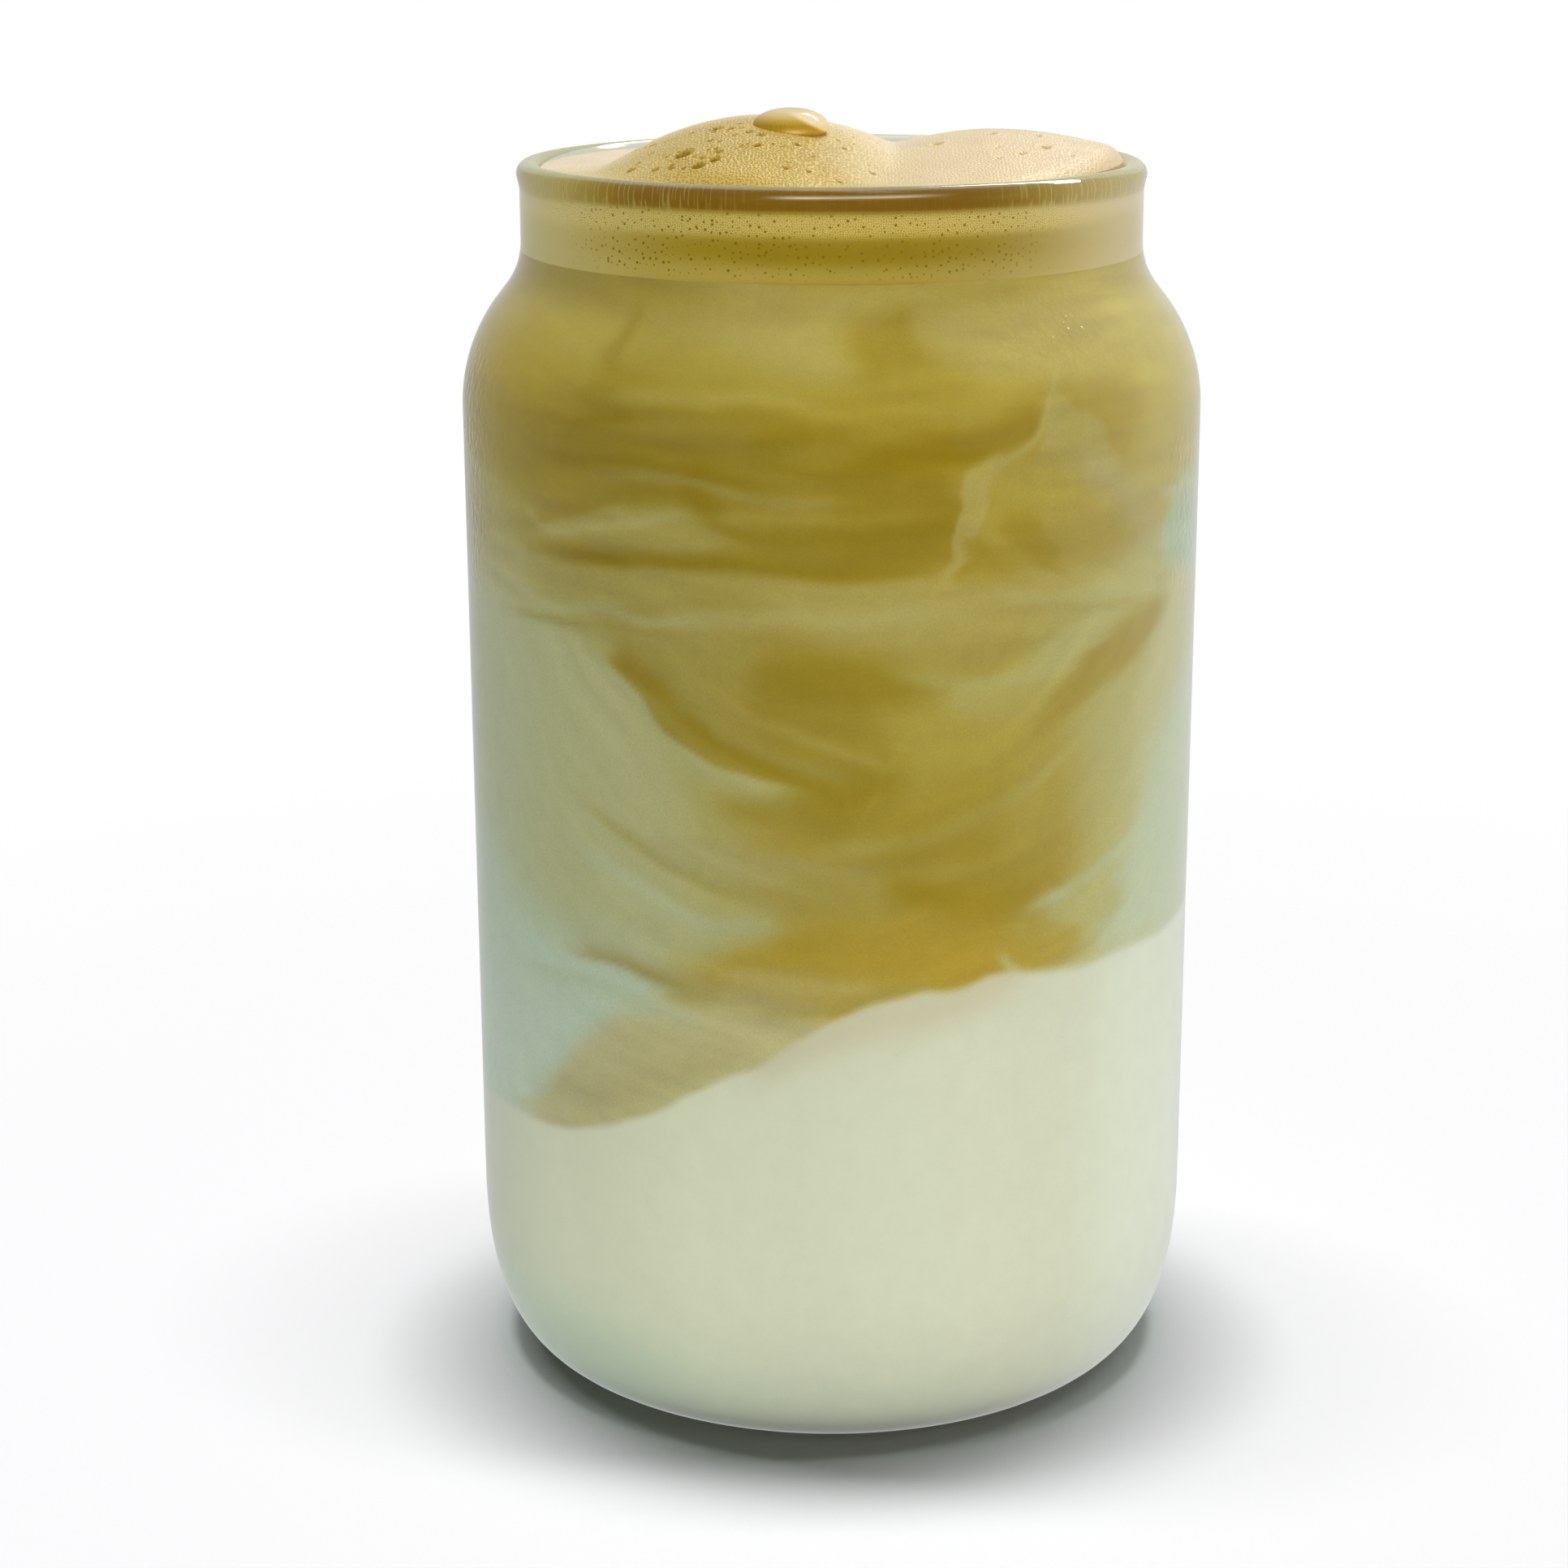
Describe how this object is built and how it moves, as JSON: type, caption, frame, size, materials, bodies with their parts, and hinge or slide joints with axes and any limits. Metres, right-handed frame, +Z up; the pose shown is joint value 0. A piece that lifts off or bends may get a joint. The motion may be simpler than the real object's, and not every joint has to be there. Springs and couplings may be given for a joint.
{
  "type": "iced hojicha latte in a can-shaped glass",
  "caption": "Iced hojicha latte in a clear can-shaped tumbler: pale milk below, roasted-tea milk above, and a tall head of fine foam mounded over the brim.",
  "frame": {"origin": "centre of the glass's foot, on the surface it stands on", "axes": "+Z up along the glass's axis; -Y towards the viewer of the picture; +X to the right"},
  "size_m": [0.076, 0.076, 0.133],
  "materials": {
    "clear_glass": "clear soda-lime glass, lightly fogged by cold on the body, clear at the neck and rim",
    "cold_milk": "opaque cold milk with a faint green-grey cast",
    "roasted_tea_milk": "opaque roasted-tea milk, olive-gold with pale streaks of milk",
    "milk_foam": "fine wet foam, cream-gold, with small open bubbles",
    "bubble_film": "thin wet film of one large bubble"
  },
  "bodies": {
    "root": {"glass": "clear_glass", "milk": "cold_milk", "tea": "roasted_tea_milk", "foam": "milk_foam", "bubble": "bubble_film"}
  },
  "joints": []
}
